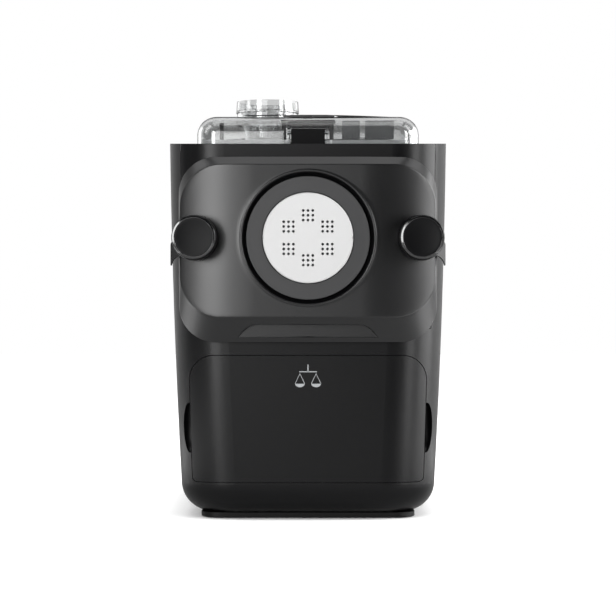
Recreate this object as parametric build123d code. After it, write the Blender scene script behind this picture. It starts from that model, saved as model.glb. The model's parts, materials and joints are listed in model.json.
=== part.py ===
from build123d import *
import math
import os

os.makedirs("parts", exist_ok=True)

# Electric pasta maker, millimetres. Front faces -Y, floor at z = 0, x = 0 is the middle plane.

# Clearances
part_gap = 0.3
panel_gap = 0.4
running_fit = 0.06
seat_gap = 0.05
wall = 2.5

# Outer body: rounded rectangle that narrows downwards in a slight bow, its rim dipping at the front
rim_z = 301.7
rim_dip = 3.4
rim_half_width = 111.85
body_front_y = -148.0
body_rear_y = 180.0
corner_radius = 45.0
flank_slope = 0.01414
flank_bow = 7.3376e-5
bottom_radius = 24.0
foot_height = 4.6
seam_inset = 10.0
fascia_low_z = 152.0
fascia_rear_y = -124.0

# Drive axis, runs along Y
axis_z = 223.3

# Front plate
plate_half_width = 102.4
plate_low_z = 141.4
plate_top_z = 287.2
plate_corner = 29.0
plate_shoulder_y = -155.0
plate_front_y = -165.0
plate_back_y = -118.0
plate_flat_half = 42.0
plate_bend_radius = 140.0
chin_top_z = 160.4
brow_low_z = 281.6
brow_drop = 5.0
slot_low_z = 145.2
slot_top_z = 155.6
slot_low_half = 55.5
slot_top_half = 46.5
slot_depth = 11.0

# Ring and shaping disc
groove_radius = 52.9
groove_depth = 7.0
ring_radius = 47.0
ring_front_y = -163.5
disc_radius = 35.5
disc_front_y = -165.5
disc_rear_y = -156.3
disc_web = 4.0
lip_width = 4.0
lip_depth = 4.5
cluster_radius = 17.6
cluster_count = 6
hole_pitch = 3.76
hole_radius = 1.05

# Locking knobs
knob_x = 89.0
knob_face_radius = 16.5
knob_skirt_radius = 18.0
knob_front_y = -180.0
knob_boss_radius = 13.2
knob_boss_length = 14.0
knob_boss_y = -161.8
stud_radius = 4.0
stud_front_y = -172.0
stud_boss_radius = 11.0
stud_head_radius = 7.5
stud_head_y = (-130.5, -126.0)
shank_radius = 6.8
shank_rear_y = -148.9
washer_radius = 12.8
washer_thickness = 0.7

# Drawer
drawer_low_z = 30.2
drawer_top_z = 130.6
drawer_low_half = 92.0
drawer_top_half = 95.0
drawer_top_corner = 20.0
drawer_low_corner = 4.0
drawer_panel = 3.0
box_half_width = 84.0
box_low_z = 34.3
box_top_z = 123.3
box_rear_y = 40.0
box_wall = 2.0
scoop_z = 72.7
scoop_half_height = 20.0
scoop_reach = 7.5
scoop_offset = 2.6
scoop_depth = 10.0
scoop_wall = 2.0

# Ears of the plate under the knobs
ear_x = (95.0, 108.6)
ear_y = (-157.0, -145.0)
ear_z = (202.0, 222.0)
ear_corner = 4.0
ear_arch_x = 99.2
ear_arch_z = 201.3
ear_arch_radius = 8.7

# Mixing chamber
chamber_radius = 68.0
chamber_front_y = -122.0
chamber_rear_y = 40.0
chamber_top_z = 294.3
flange_half_width = 86.0
flange_thickness = 2.5
tube_inner = 28.0
tube_wall = 3.0
tube_front_y = -156.0

# Deck and console
deck_low_z = 290.3
deck_top_z = 294.0
console_front_y = 57.0
console_rear_y = 168.0
console_half_width = 78.0
console_top_z = 320.3
console_round = 8.0
button_radius = 7.5
button_xs = (-42.0, -14.0, 14.0, 42.0)
button_y = 132.0

# Lid
lid_half_width = 89.7
lid_front_y = -122.0
lid_rear_y = 46.0
lid_top_z = 323.0
lid_corner = 18.0
lid_round = 15.0
hinge_y = 50.5
hinge_z = 315.3
hinge_pin_radius = 2.0
knuckle_radius = 4.0
knuckle_x = (40.0, 52.0)
hinge_lug_width = 6.0
latch_half_width = 13.6
latch_low_z = 298.5
latch_top_z = 312.5
latch_pivot_y = -118.5
latch_pivot_z = 309.3
latch_pin_radius = 1.5
notch_half_width = 19.5
lid_relief_y = 18.0
lid_relief_z = 304.3

# Pouring cup and its collar
cup_x = -33.4
cup_y = -70.0
cup_radius = 25.2
cup_step_z = 329.0
cup_top_z = 338.4
cup_neck_radius = 21.0
cup_floor_z = 305.3
cup_wall = 1.8
collar_height = 5.3
collar_wall = 3.0

# Gear train, module in mm
module_out = 2.0
teeth_out = 56
teeth_mid_small = 16
module_in = 1.5
teeth_mid_big = 44
teeth_pinion = 12
tooth_backlash = 0.5
gear_b_y = (56.0, 64.5)
gear_a_y = (66.5, 74.5)
shaft_radius = 6.0
mid_pin_radius = 4.0

# Gearbox, motor and chassis
bulkhead_y = (48.0, 51.0)
gearbox_y = (51.3, 78.0)
gearbox_half_width = 64.0
gearbox_low_z = 93.3
gearbox_top_z = 285.3
cover_thickness = 3.0
motor_radius = 36.0
motor_length = 66.0
rotor_radius = 26.0
motor_shaft_radius = 4.0
fan_radius = 30.0

# Cord gland in the rear
gland_x = 62.0
gland_z = 43.3
gland_radius = 9.0
gland_flange = 3.0
gland_bore = 3.6
gland_reach = 4.0

# Small parts
bearing_radius = 11.0
seal_radius = 11.0
screw_head_radius = 3.2
screw_head_height = 1.9
screw_shank_radius = 1.5
screw_length = 9.0
base_screw_x = 61.0
switch_x = 72.0
switch_y = 44.6
power_board_x = 82.0
board_z = 303.3
board_thickness = 1.6
mat_thickness = 1.5
button_stem_rise = 8.2

# Paddle and extrusion screw
hub_radius = 13.0
paddle_clearance = 10.0
paddle_arms = ((-52.0, 0), (-22.0, 120), (8.0, 240), (26.0, 60))
hex_radius = 5.0
screw_core_radius = 9.0
flight_pitch = 27.0
flight_length = 74.0
flight_width = 18.0

# Shelf under the chamber
shelf_z = (132.3, 134.8)
saddle_half_width = 34.0
saddle_top_z = 167.3

# Feet, load cells
foot_radius = 9.0
spigot_radius = 3.2
foot_x = 59.0
foot_ys = (-104.0, 132.0)
base_thickness = 3.0
skirt_half_width = 86.0
skirt_inset = 21.0
skirt_low_z = 1.0
skirt_plate = 1.0
skirt_wall = 3.0

washer_rear_y = knob_boss_y - part_gap
knob_rear_y = washer_rear_y - washer_thickness - part_gap
clip_y = (shank_rear_y - 2.5, shank_rear_y - 1.2)
mid_axis_z = axis_z - module_out * (teeth_out + teeth_mid_small) / 2
motor_axis_z = mid_axis_z - module_in * (teeth_mid_big + teeth_pinion) / 2
base_top_z = foot_height + base_thickness
cover_y = (gearbox_y[1], gearbox_y[1] + cover_thickness)
motor_y = (cover_y[1] + seat_gap, cover_y[1] + seat_gap + motor_length)
flange_low_z = chamber_top_z
flange_top_z = flange_low_z + flange_thickness
lid_low_z = deck_top_z + panel_gap


# Basic shapes

def span_box(xs, ys, zs):
    size = (xs[1] - xs[0], ys[1] - ys[0], zs[1] - zs[0])
    return Pos((xs[0] + xs[1]) / 2, (ys[0] + ys[1]) / 2, (zs[0] + zs[1]) / 2) * Box(*size)


def cyl_y(radius, y0, y1, x=0.0, z=0.0):
    return Pos(x, (y0 + y1) / 2, z) * Rot(90, 0, 0) * Cylinder(radius, y1 - y0)


def cyl_x(radius, x0, x1, y=0.0, z=0.0):
    return Pos((x0 + x1) / 2, y, z) * Rot(0, 90, 0) * Cylinder(radius, x1 - x0)


def cyl_z(radius, z0, z1, x=0.0, y=0.0):
    return Pos(x, y, (z0 + z1) / 2) * Cylinder(radius, z1 - z0)


def cone_y(r0, r1, y0, y1, x=0.0, z=0.0):
    # radius r0 at y0 and r1 at y1
    return Pos(x, (y0 + y1) / 2, z) * Rot(-90, 0, 0) * Cone(r0, r1, y1 - y0)


def cone_z(r0, r1, z0, z1, x=0.0, y=0.0):
    return Pos(x, y, (z0 + z1) / 2) * Cone(r0, r1, z1 - z0)


def front_plane(y):
    return Plane(origin=(0, y, 0), x_dir=(1, 0, 0), z_dir=(0, -1, 0))


def prism_y(sketch, y0, y1):
    return extrude(front_plane(y1) * sketch, amount=y1 - y0)


def mirrored(shape):
    return mirror(shape, about=Plane.YZ)


def both_sides(shape):
    return [shape, mirrored(shape)]


def front_rect(half_width, low_z, top_z, radius):
    return Pos(0, (low_z + top_z) / 2) * RectangleRounded(2 * half_width, top_z - low_z, radius)


def save(name, shape):
    items = shape if isinstance(shape, (list, tuple)) else [shape]
    solids = [solid for item in items for solid in item.solids()]
    out = solids[0] if len(solids) == 1 else Compound(children=solids)
    out.label = name
    export_step(out, f"parts/{name}.step")


# Outer body surface

def half_width_at(z):
    drop = rim_z - z
    return rim_half_width - flank_slope * drop - flank_bow * drop * drop


def flank_outline(inset, low_z, top_z):
    # closed outline between both flanks, seen from the front
    levels = (low_z, (low_z + top_z) / 2, top_z)
    right = [(half_width_at(z) - inset, z) for z in levels]
    left = [(-x, z) for x, z in reversed(right)]
    edges = [ThreePointArc(*right), Line(right[2], left[0]), ThreePointArc(*left), Line(left[2], right[0])]
    return make_face(Wire(edges))


def body_section(z, inset):
    depth = body_rear_y - body_front_y - 2 * inset
    middle = (body_rear_y + body_front_y) / 2
    width = 2 * (half_width_at(z) - inset)
    return Plane.XY.offset(z) * Pos(0, middle) * RectangleRounded(width, depth, corner_radius - inset)


def above_rim():
    # room over the body, level but for the dip across the rounded front corners
    back_y = body_front_y + corner_radius
    points = [(body_front_y - 20, rim_z - rim_dip), (body_front_y, rim_z - rim_dip), (back_y, rim_z),
              (body_rear_y + 20, rim_z), (body_rear_y + 20, rim_z + 20), (body_front_y - 20, rim_z + 20)]
    return extrude(Plane.YZ * make_face(Polyline(*points, close=True)), amount=rim_half_width + 10, both=True)


def body_solid(inset, top_z):
    low = foot_height + inset
    levels = [low + (top_z - low) * step / 4 for step in range(5)]
    solid = loft([body_section(z, inset) for z in levels])
    low_edges = solid.edges().group_by(Axis.Z)[0]
    return fillet(low_edges, bottom_radius - inset)


body_outer = body_solid(0.0, rim_z) - above_rim()
body_inner = body_solid(wall, rim_z + 1.0)
body_room = body_solid(wall + part_gap, rim_z + 1.0)
body_clear = body_solid(-panel_gap, rim_z + 1.0)


def body_front_at(x, z):
    # y of the outer surface at its front, rounded corner included
    over = max(0.0, abs(x) - (half_width_at(z) - corner_radius))
    return body_front_y + corner_radius - math.sqrt(corner_radius ** 2 - over ** 2)


def fascia_zone(gap):
    # where the front fascia is, its lower edge behind the front plate
    outline = flank_outline(seam_inset + gap, fascia_low_z + gap, rim_z + 3)
    return prism_y(outline, body_front_y - 5, fascia_rear_y)


def base_outline(gap):
    z = foot_height
    half = half_width_at(z) - bottom_radius - 3.0 + gap
    depth = body_rear_y - body_front_y - 2 * (bottom_radius + 10.0) + 2 * gap
    middle = (body_rear_y + body_front_y) / 2
    return Pos(0, middle) * RectangleRounded(2 * half, depth, 18.0)


def drawer_outline(gap):
    points = [
        (-drawer_low_half - gap, drawer_low_z - gap), (drawer_low_half + gap, drawer_low_z - gap),
        (drawer_top_half + gap, drawer_top_z + gap), (-drawer_top_half - gap, drawer_top_z + gap),
    ]
    face = make_face(Polyline(*points, close=True))
    low = face.vertices().group_by(Axis.Y)[0]
    face = fillet(low, drawer_low_corner)
    top = face.vertices().group_by(Axis.Y)[-1]
    return fillet(top, drawer_top_corner)


def scoop_tool(grow):
    # finger scoop beside the drawer, an upright ellipsoid
    x = drawer_low_half + scoop_offset
    shape = scale(Sphere(1.0), by=(scoop_reach + grow, scoop_depth + grow, scoop_half_height + grow))
    return Pos(x, body_front_at(x, scoop_z), scoop_z) * shape


def make_front_fascia():
    zone = fascia_zone(part_gap / 2)
    front = (body_outer - body_inner) & zone
    keep = body_outer & zone
    for x in (-knob_x, knob_x):
        front += cyl_y(stud_boss_radius, body_front_y, stud_head_y[0], x, axis_z) & keep
    front -= cyl_y(tube_inner + tube_wall + 2.0, -160, -130, 0, axis_z)
    for x in (-knob_x, knob_x):
        front -= cyl_y(stud_radius + part_gap, -160, -120, x, axis_z)
    return front


def make_body_shell():
    shell = body_outer - body_inner - fascia_zone(-part_gap / 2)
    for cup in both_sides(scoop_tool(scoop_wall)):
        shell += cup & body_outer
    shell -= prism_y(drawer_outline(panel_gap), -170, -100)
    for cup in both_sides(scoop_tool(0.0)):
        shell -= cup
    for row in range(9):
        shell -= Pos(0, body_rear_y - 4, 61.3 + 9.0 * row) * Box(96, 20, 3.2)
    shell -= cyl_y(gland_radius + seat_gap, body_rear_y - 30, body_rear_y + 10, gland_x, gland_z)
    shell -= extrude(Plane.XY * base_outline(part_gap), amount=base_top_z + part_gap)
    return shell


def make_cord_gland():
    y0, y1 = body_rear_y - wall - gland_reach - gland_flange, body_rear_y + gland_reach
    body = cyl_y(gland_radius, y0, y1, gland_x, gland_z)
    body += cyl_y(gland_radius + gland_flange, y1 - gland_flange, y1, gland_x, gland_z)
    body += cyl_y(gland_radius + gland_flange, y0, y0 + gland_flange, gland_x, gland_z)
    return body - cyl_y(gland_bore, y0 - 1, y1 + 1, gland_x, gland_z)


def skirt_block(inset, top_z):
    # low frame under the shell, a little wider than the pan
    ys = (body_front_y + skirt_inset + inset, body_rear_y - skirt_inset - inset)
    half = skirt_half_width - inset
    block = span_box((-half, half), ys, (skirt_low_z, top_z))
    return fillet(block.edges().filter_by(Axis.Z), 16.0 - inset)


def make_base_pan():
    pan = Pos(0, 0, foot_height) * extrude(Plane.XY * base_outline(0.0), amount=base_thickness)
    pan += skirt_block(0.0, foot_height) - skirt_block(skirt_wall, foot_height - skirt_plate)
    for row in range(7):
        pan -= Pos(0, 70.0 + 10.0 * row, 4) * Box(60, 3.5, 10)
    for x in (-foot_x, foot_x):
        for y in foot_ys:
            pan -= cyl_z(spigot_radius, 0, 10, x, y)
    for spot in base_screw_spots():
        pan -= spot * screw_parts(seat_gap)
        pan -= spot * cyl_z(screw_head_radius + seat_gap, -2.0 - skirt_plate, 0.0)
    return pan


def make_feet():
    feet = []
    for x in (-foot_x, foot_x):
        for y in foot_ys:
            foot = cyl_z(foot_radius, 0, foot_height - skirt_plate, x, y)
            foot += cyl_z(spigot_radius - seat_gap, foot_height - skirt_plate, base_top_z, x, y)
            feet.append(foot)
    return feet


def make_load_cells():
    cells = []
    for x in (-foot_x, foot_x):
        for y in foot_ys:
            bar = span_box((x - 6, x + 6), (y - 17, y + 17), (base_top_z + 0.1, base_top_z + 6))
            bar -= cyl_x(2.0, x - 7, x + 7, y - 4, base_top_z + 3)
            bar -= cyl_x(2.0, x - 7, x + 7, y + 4, base_top_z + 3)
            cells.append(bar)
    return cells


def make_deck():
    reach = rim_half_width
    deck = span_box((-reach, reach), (body_front_y, body_rear_y), (deck_low_z, deck_top_z)) & body_room
    half = chamber_radius + wall + 1.0
    deck -= span_box((-half, half), (chamber_front_y - 1, chamber_rear_y + 1), (280, 300))
    deck -= span_box((-60, 60), (76, 150), (280, 300))
    deck -= cyl_z(1.6, 280, 300, switch_x, switch_y)
    return deck


# Mixing chamber and tube

def tub_solid(radius, y0, y1, top_z):
    tub = cyl_y(radius, y0, y1, 0, axis_z)
    return tub + span_box((-radius, radius), (y0, y1), (axis_z, top_z))


def make_chamber():
    outer = tub_solid(chamber_radius + wall, chamber_front_y, chamber_rear_y, flange_low_z)
    flange = span_box((-flange_half_width, flange_half_width),
                      (chamber_front_y + 6, chamber_rear_y + 2), (flange_low_z, flange_top_z))
    flange = fillet(flange.edges().filter_by(Axis.Z), 12.0)
    tub = outer + flange
    tub -= tub_solid(chamber_radius, chamber_front_y + wall, chamber_rear_y - wall, flange_top_z + 1)
    tub -= cyl_y(tube_inner, -130, -110, 0, axis_z)
    tub -= cyl_y(seal_radius + seat_gap, 30, 45, 0, axis_z)
    return tub


def make_chamber_gasket():
    half = flange_half_width - 3
    ys = (chamber_front_y + 9, chamber_rear_y - 1)
    ring = span_box((-half, half), ys, (flange_top_z, flange_top_z + 1.4))
    ring = fillet(ring.edges().filter_by(Axis.Z), 10.0)
    hole = span_box((-half + 3, half - 3), (ys[0] + 3, ys[1] - 3), (flange_top_z - 1, flange_top_z + 3))
    return ring - fillet(hole.edges().filter_by(Axis.Z), 7.0)


def make_tube():
    outer = tube_inner + tube_wall
    tube = cyl_y(outer, tube_front_y, chamber_front_y, 0, axis_z)
    tube += cyl_y(outer + 6, chamber_front_y - 4, chamber_front_y, 0, axis_z)
    return tube - cyl_y(tube_inner, tube_front_y - 1, chamber_front_y + 1, 0, axis_z)


def make_tube_seal():
    inner = tube_inner + tube_wall + seat_gap
    ring = cyl_y(inner + 1.6, tube_front_y + 1, tube_front_y + 5, 0, axis_z)
    return ring - cyl_y(inner, tube_front_y, tube_front_y + 6, 0, axis_z)


def make_shaft_seal():
    ring = cyl_y(seal_radius, chamber_rear_y - wall - 1.5, chamber_rear_y + 4, 0, axis_z)
    return ring - cyl_y(shaft_radius + running_fit, 30, 50, 0, axis_z)


def make_chamber_shelf():
    room_half = rim_half_width
    shelf = span_box((-room_half, room_half), (body_front_y, bulkhead_y[0]), shelf_z) & body_room
    for y in (-92.0, 12.0):
        saddle = span_box((-saddle_half_width, saddle_half_width), (y - 6, y + 6),
                          (shelf_z[1] - 0.5, saddle_top_z))
        shelf += saddle - cyl_y(chamber_radius + wall + part_gap, y - 8, y + 8, 0, axis_z)
    return shelf


# Chassis, gearbox and motor

def make_bulkhead():
    plate = span_box((-rim_half_width, rim_half_width), bulkhead_y, (base_top_z, deck_low_z)) & body_room
    plate -= cyl_y(12.0, 40, 60, 0, axis_z)
    return plate


def make_gearbox_case():
    half, low, top = gearbox_half_width, gearbox_low_z, gearbox_top_z
    case = prism_y(front_rect(half, low, top, 14.0), *gearbox_y)
    case -= prism_y(front_rect(half - wall, low + wall, top - wall, 11.5),
                    gearbox_y[0] + wall, gearbox_y[1] + 1)
    case -= cyl_y(bearing_radius + seat_gap, 40, 60, 0, axis_z)
    case -= cyl_y(mid_pin_radius, 40, 60, 0, mid_axis_z)
    return case


def make_gearbox_cover():
    half, low, top = gearbox_half_width, gearbox_low_z, gearbox_top_z
    cover = prism_y(front_rect(half, low, top, 14.0), *cover_y)
    cover -= cyl_y(bearing_radius + seat_gap, 70, 90, 0, axis_z)
    cover -= cyl_y(mid_pin_radius, 70, 90, 0, mid_axis_z)
    cover -= cyl_y(motor_shaft_radius + 2, 70, 90, 0, motor_axis_z)
    for spot in cover_screw_spots():
        cover -= spot * screw_parts(seat_gap)
    return cover


def make_bearings():
    rings = []
    for y0, y1 in ((gearbox_y[0], gearbox_y[0] + wall + 1.5), (cover_y[0] - 2.5, cover_y[1])):
        ring = cyl_y(bearing_radius, y0, y1, 0, axis_z)
        rings.append(ring - cyl_y(shaft_radius + running_fit, 30, 90, 0, axis_z))
    return rings


def make_mid_pin():
    return cyl_y(mid_pin_radius - seat_gap, gearbox_y[0], cover_y[1], 0, mid_axis_z)


def gear_shape(teeth, module, ys, z, first_angle):
    pitch_radius = module * teeth / 2
    root, tip = pitch_radius - 1.25 * module, pitch_radius + module
    lean = math.tan(math.radians(20))
    at_pitch = math.pi * module / 4 - tooth_backlash / 2
    tip_angle = (at_pitch - lean * module) / tip
    root_angle = min((at_pitch + lean * 1.25 * module) / root, 0.94 * math.pi / teeth)
    points = []
    for tooth in range(teeth):
        middle = first_angle + 2 * math.pi * tooth / teeth
        for radius, turn in ((root, -root_angle), (tip, -tip_angle), (tip, tip_angle), (root, root_angle)):
            angle = middle + turn
            points.append((radius * math.cos(angle), z + radius * math.sin(angle)))
    return prism_y(make_face(Polyline(*points, close=True)), *ys)


def make_output_gear():
    # a tooth gap points straight down at the middle gear
    start = -math.pi / 2 + math.pi / teeth_out
    gear = gear_shape(teeth_out, module_out, gear_b_y, axis_z, start)
    for turn in range(6):
        angle = math.radians(60 * turn)
        gear -= cyl_y(9.0, 50, 70, 34 * math.cos(angle), axis_z + 34 * math.sin(angle))
    return gear - cyl_y(shaft_radius + seat_gap, 50, 70, 0, axis_z)


def make_mid_gear():
    small = gear_shape(teeth_mid_small, module_out, (gear_b_y[0], gear_a_y[0]), mid_axis_z, math.pi / 2)
    start = -math.pi / 2 + math.pi / teeth_mid_big
    big = gear_shape(teeth_mid_big, module_in, gear_a_y, mid_axis_z, start)
    return small + big - cyl_y(mid_pin_radius + running_fit, 50, 80, 0, mid_axis_z)


def make_pinion():
    gear = gear_shape(teeth_pinion, module_in, gear_a_y, motor_axis_z, math.pi / 2)
    return gear - cyl_y(motor_shaft_radius + seat_gap, 50, 80, 0, motor_axis_z)


def make_motor_can():
    can = cyl_y(motor_radius, *motor_y, 0, motor_axis_z)
    can -= cyl_y(motor_radius - 2, motor_y[0] + 3, motor_y[1] - 3, 0, motor_axis_z)
    can -= cyl_y(motor_shaft_radius + running_fit, 70, 170, 0, motor_axis_z)
    for turn in range(8):
        angle = math.radians(45 * turn)
        can -= cyl_y(4.0, motor_y[1] - 5, motor_y[1] + 1, 24 * math.cos(angle),
                     motor_axis_z + 24 * math.sin(angle))
    return can


def make_rotor():
    rotor = cyl_y(motor_shaft_radius, gear_a_y[0] - 2, motor_y[1] + 12, 0, motor_axis_z)
    rotor += cyl_y(rotor_radius, motor_y[0] + 12, motor_y[1] - 18, 0, motor_axis_z)
    rotor += cyl_y(12.0, motor_y[1] - 18, motor_y[1] - 7, 0, motor_axis_z)
    return rotor


def make_fan():
    y0, y1 = motor_y[1] + 2, motor_y[1] + 10
    fan = cyl_y(9.0, y0, y1, 0, motor_axis_z)
    for turn in range(9):
        blade = Pos(18, 0, 0) * Rot(35, 0, 0) * Box(fan_radius - 8, 9, 1.6)
        fan += Pos(0, (y0 + y1) / 2, motor_axis_z) * Rot(0, 40 * turn, 0) * blade
    return fan - cyl_y(motor_shaft_radius + seat_gap, y0 - 5, y1 + 5, 0, motor_axis_z)


def make_motor_cradle():
    block = span_box((-28, 28), (100, 132), (base_top_z + 0.1, 84.0))
    block -= cyl_y(motor_radius + seat_gap, 90, 140, 0, motor_axis_z)
    block -= span_box((-16, 16), (90, 140), (16.0, 60.0))
    return block


def make_power_board():
    x = power_board_x
    y = bulkhead_y[1]
    board = span_box((-x - 17, -x + 17), (y + 6, y + 7.6), (70, 200))
    for z in (78.0, 192.0):
        for side in (-13.0, 13.0):
            board += cyl_y(2.5, y, y + 6.5, -x + side, z)
    board += span_box((-x - 13, -x + 13), (y + 7, y + 27), (146, 180))
    for z in (96.0, 122.0):
        board += cyl_y(9.0, y + 7, y + 32, -x, z)
    return board


def make_drive_shaft():
    shaft = cyl_y(shaft_radius, 8.0, cover_y[1] - 1, 0, axis_z)
    head = Pos(0, -2, axis_z) * Rot(90, 0, 0) * extrude(RegularPolygon(hex_radius, 6), amount=10, both=True)
    return shaft + head


# Paddle and extrusion screw

def make_paddle():
    hub = cyl_y(hub_radius, -64.0, 34.0, 0, axis_z)
    root, reach = hub_radius - 5.0, chamber_radius - paddle_clearance
    for y, turn in paddle_arms:
        arm = Pos((root + reach) / 2, 0, 0) * Rot(28, 0, 0) * Box(reach - root, 14, 5)
        tip = Pos(reach - 3, 0, 0) * Rot(28, 0, 0) * Box(5, 26, 12)
        hub += Pos(0, y - 3, axis_z) * Rot(0, turn, 0) * (arm + tip)
    hub -= cyl_y(shaft_radius + seat_gap, 8.0, 40.0, 0, axis_z)
    socket = extrude(RegularPolygon(hex_radius + 2 * seat_gap, 6), amount=12, both=True)
    hub -= Pos(0, -2, axis_z) * Rot(90, 0, 0) * socket
    return hub


def make_screw():
    core = cyl_y(screw_core_radius, -148.0, -64.3, 0, axis_z)
    path = Helix(pitch=flight_pitch, height=flight_length, radius=screw_core_radius + flight_width / 2 - 0.5)
    start = path @ 0
    section = Plane(origin=start, x_dir=(1, 0, 0), z_dir=path % 0) * Rectangle(flight_width, 3.2)
    flight = sweep(section, path=path, is_frenet=True)
    flight = Pos(0, -68.0, axis_z) * Rot(90, 0, 0) * flight
    return core + flight


# Front plate group

def plate_bend_path(inset):
    # flat in the middle, then bent back towards both sides
    radius = plate_bend_radius - inset
    turn = math.degrees(math.asin((plate_half_width + 4 - plate_flat_half) / radius))
    y = plate_front_y + inset
    middle = Line((-plate_flat_half, y), (plate_flat_half, y))
    right = CenterArc((plate_flat_half, y + radius), radius, -90, turn)
    left = CenterArc((-plate_flat_half, y + radius), radius, -90 - turn, turn)
    return Wire([left, middle, right])


def plate_solid(inset):
    # side profile with chin and brow carried along the bend, cut by the rounded outline
    outline = front_rect(plate_half_width - inset, plate_low_z + inset, plate_top_z - inset,
                         plate_corner - inset)
    front, back = inset, plate_back_y - plate_front_y
    points = [
        (back, plate_low_z - 9), (plate_shoulder_y - plate_front_y + inset, plate_low_z - 0.1 + inset),
        (front, chin_top_z), (front, brow_low_z), (brow_drop + inset, plate_top_z + 0.1 - inset),
        (back, plate_top_z + 9),
    ]
    path = plate_bend_path(inset)
    start = path @ 0
    along = path % 0
    depth = Vector(-along.Y, along.X, 0)
    corners = [Vector(start.X, start.Y, z) + depth * (d - inset) for d, z in points]
    profile = make_face(Polyline(*corners, close=True))
    return sweep(profile, path=path) & prism_y(outline, -190, plate_back_y + 30)


def slot_tool(grow):
    points = [
        (-slot_low_half - grow, slot_low_z - grow), (slot_low_half + grow, slot_low_z - grow),
        (slot_top_half + grow, slot_top_z + grow), (-slot_top_half - grow, slot_top_z + grow),
    ]
    face = make_face(Polyline(*points, close=True))
    top = face.vertices().group_by(Axis.Y)[-1]
    return fillet(top, 7.0)


def plate_ear():
    ear = span_box(ear_x, ear_y, ear_z)
    ear = fillet(ear.edges().filter_by(Axis.Y).group_by(Axis.Z)[-1], ear_corner)
    return ear - cyl_y(ear_arch_radius, ear_y[0] - 1, ear_y[1] + 1, ear_arch_x, ear_arch_z)


def make_front_plate():
    plate = plate_solid(0.0) - plate_solid(wall)
    for ear in both_sides(plate_ear()):
        plate += ear
    rear_y = plate_front_y + groove_depth + wall
    plate += cyl_y(groove_radius + wall, plate_front_y + 1, rear_y, 0, axis_z) & plate_solid(0.3)
    pocket = prism_y(slot_tool(1.8), plate_front_y, plate_front_y + slot_depth + 3.2)
    plate += pocket & plate_solid(0.3)
    plate -= prism_y(slot_tool(0.0), plate_front_y - 5, plate_front_y + slot_depth + 1.4)
    plate -= cyl_y(groove_radius, plate_front_y - 3, plate_front_y + groove_depth, 0, axis_z)
    plate -= cone_y(groove_radius + lip_width + 1, groove_radius,
                    plate_front_y - lip_depth / lip_width, plate_front_y + lip_depth, 0, axis_z)
    plate -= cyl_y(disc_radius + 1.2, -170, -140, 0, axis_z)
    for x in (-knob_x, knob_x):
        plate += cyl_y(knob_boss_radius, knob_boss_y, knob_boss_y + knob_boss_length, x, axis_z)
        plate -= cyl_y(knob_boss_radius - wall, knob_boss_y + wall, knob_boss_y + 20, x, axis_z)
        plate -= cyl_y(shank_radius + 0.5, -170, -150, x, axis_z)
    return plate - body_clear


def make_plate_ring():
    y0, y1 = ring_front_y, plate_front_y + groove_depth
    ring = cyl_y(ring_radius, y0 + 0.8, y1, 0, axis_z)
    ring += cone_y(ring_radius - 0.8, ring_radius, y0, y0 + 0.8, 0, axis_z)
    return ring - cyl_y(disc_radius + 0.7, ring_front_y - 1, -150, 0, axis_z)


def make_shaping_disc():
    disc = cyl_y(disc_radius, disc_front_y + 0.8, disc_rear_y, 0, axis_z)
    disc += cone_y(disc_radius - 0.8, disc_radius, disc_front_y, disc_front_y + 0.8, 0, axis_z)
    disc -= cyl_y(tube_inner - 1.5, disc_front_y + disc_web, disc_rear_y + 1, 0, axis_z)
    holes = []
    for cluster in range(cluster_count):
        angle = math.radians(30 + 60 * cluster)
        cx, cz = cluster_radius * math.cos(angle), axis_z + cluster_radius * math.sin(angle)
        for row in (-1, 0, 1):
            for column in (-1, 0, 1):
                holes.append(cyl_y(hole_radius, -175, -160, cx + column * hole_pitch, cz + row * hole_pitch))
    disc -= holes
    for x in (-disc_radius, disc_radius):
        disc -= cyl_y(1.2, disc_front_y - 5, disc_front_y + 2.5, x, axis_z)
    return disc


def make_studs():
    studs = []
    for x in (-knob_x, knob_x):
        stud = cyl_y(stud_radius, stud_front_y, stud_head_y[1], x, axis_z)
        stud += cyl_y(stud_head_radius, *stud_head_y, x, axis_z)
        studs.append(stud)
    return studs


def make_knob_grip(x):
    grip = cone_y(knob_face_radius + 0.4, knob_skirt_radius, knob_front_y + 1.2, knob_rear_y, x, axis_z)
    rim = cone_y(knob_face_radius - 0.8, knob_face_radius + 0.4, knob_front_y, knob_front_y + 1.2, x, axis_z)
    grip += rim
    hollow = cyl_y(knob_face_radius - 2.2, knob_front_y + 3.4, knob_rear_y + 1, x, axis_z)
    hollow -= cyl_y(shank_radius + 2.6, knob_front_y, knob_rear_y + 2, x, axis_z)
    grip -= hollow
    return grip - cyl_y(shank_radius + seat_gap, knob_front_y + 3.5, knob_rear_y + 2, x, axis_z)


def make_knob_insert(x):
    insert = cyl_y(shank_radius, knob_front_y + 3.6, shank_rear_y, x, axis_z)
    insert -= cyl_y(stud_radius + running_fit, knob_front_y + 5, shank_rear_y + 1, x, axis_z)
    groove = cyl_y(shank_radius + 1, clip_y[0] - seat_gap, clip_y[1] + seat_gap, x, axis_z)
    groove -= cyl_y(shank_radius - 0.8, clip_y[0] - 1, clip_y[1] + 1, x, axis_z)
    return insert - groove


def make_knob_clip(x):
    clip = cyl_y(shank_radius + 2.6, *clip_y, x, axis_z)
    return clip - cyl_y(shank_radius - 0.8 + seat_gap, clip_y[0] - 1, clip_y[1] + 1, x, axis_z)


def make_thrust_washer(x):
    washer = cyl_y(washer_radius, washer_rear_y - washer_thickness, washer_rear_y, x, axis_z)
    return washer - cyl_y(shank_radius + part_gap, -170, -150, x, axis_z)


# Drawer

def make_drawer_front():
    skin = body_outer - body_solid(drawer_panel, rim_z + 1.0)
    return skin & prism_y(drawer_outline(0.0), -170, -110)


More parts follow.
